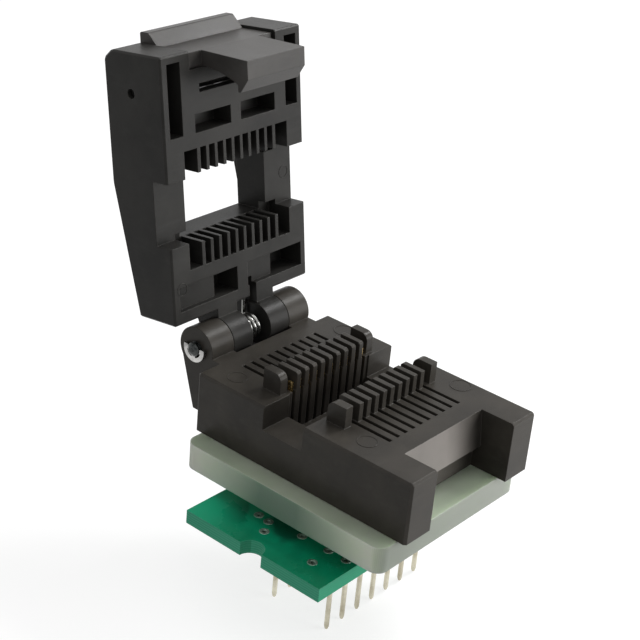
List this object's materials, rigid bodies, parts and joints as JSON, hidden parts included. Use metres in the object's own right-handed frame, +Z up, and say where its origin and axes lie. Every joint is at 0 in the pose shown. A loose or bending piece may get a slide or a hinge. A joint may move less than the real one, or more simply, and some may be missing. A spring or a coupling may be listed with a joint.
{
  "type": "soic to dip adapter",
  "caption": "Clamshell test socket for small-outline chips, with a sprung lid and latch, on a board with two rows of round pins for a dual-in-line socket.",
  "frame": {"origin": "middle of the pin grid, at the underside of the board", "axes": "+Z up out of the board, against the pins; +X along the hinge and the pin rows; +Y towards the hinge side"},
  "size_m": [0.0272, 0.0446, 0.0574],
  "materials": {
    "housing_plastic": "moulded, slightly satin",
    "spacer_plastic": "translucent, smooth",
    "board_laminate": "solder resist over laminate",
    "contact_gold": "stamped, thin plate",
    "pin_metal": "turned, pale plate",
    "solder_metal": "bright solder",
    "steel": "ground",
    "spring_steel": "drawn wire"
  },
  "bodies": {
    "base": {"base_housing": "housing_plastic", "spacer": "spacer_plastic", "board": "board_laminate", "board_vias": "solder_metal", "pin_solder": "solder_metal", "contact_solder": "solder_metal", "hinge_pin": "steel", "e_ring": "steel", "hinge_spring": "spring_steel", "dip_pin_front_1": "pin_metal", "dip_pin_front_2": "pin_metal", "dip_pin_front_3": "pin_metal", "dip_pin_front_4": "pin_metal", "dip_pin_front_5": "pin_metal", "dip_pin_front_6": "pin_metal", "dip_pin_front_7": "pin_metal", "dip_pin_back_1": "pin_metal", "dip_pin_back_2": "pin_metal", "dip_pin_back_3": "pin_metal", "dip_pin_back_4": "pin_metal", "dip_pin_back_5": "pin_metal", "dip_pin_back_6": "pin_metal", "dip_pin_back_7": "pin_metal", "contact_front_1": "contact_gold", "contact_front_2": "contact_gold", "contact_front_3": "contact_gold", "contact_front_4": "contact_gold", "contact_front_5": "contact_gold", "contact_front_6": "contact_gold", "contact_front_7": "contact_gold", "contact_front_8": "contact_gold", "contact_front_9": "contact_gold", "contact_front_10": "contact_gold", "contact_back_1": "contact_gold", "contact_back_2": "contact_gold", "contact_back_3": "contact_gold", "contact_back_4": "contact_gold", "contact_back_5": "contact_gold", "contact_back_6": "contact_gold", "contact_back_7": "contact_gold", "contact_back_8": "contact_gold", "contact_back_9": "contact_gold", "contact_back_10": "contact_gold"},
    "lid": {"lid_housing": "housing_plastic", "latch_pin": "steel", "latch_spring_left": "spring_steel", "latch_spring_right": "spring_steel"},
    "latch": {"latch": "housing_plastic"}
  },
  "joints": [
    {"name": "lid_hinge", "type": "hinge", "parent": "base", "child": "lid", "pos_m": [0, 0.01779, 0.01406], "axis": [1, 0, 0], "range_deg": [0, 98], "stiffness_Nm_per_rad": 0.006, "springref_deg": -28.65, "deforming": ["hinge_spring"]},
    {"name": "latch_pivot", "type": "hinge", "parent": "lid", "child": "latch", "pos_m": [0, 0.02598, 0.04112], "axis": [-1, 0, 0], "range_deg": [0, 10], "stiffness_Nm_per_rad": 0.01, "springref_deg": -11.46, "deforming": ["latch_spring_left", "latch_spring_right"]}
  ]
}
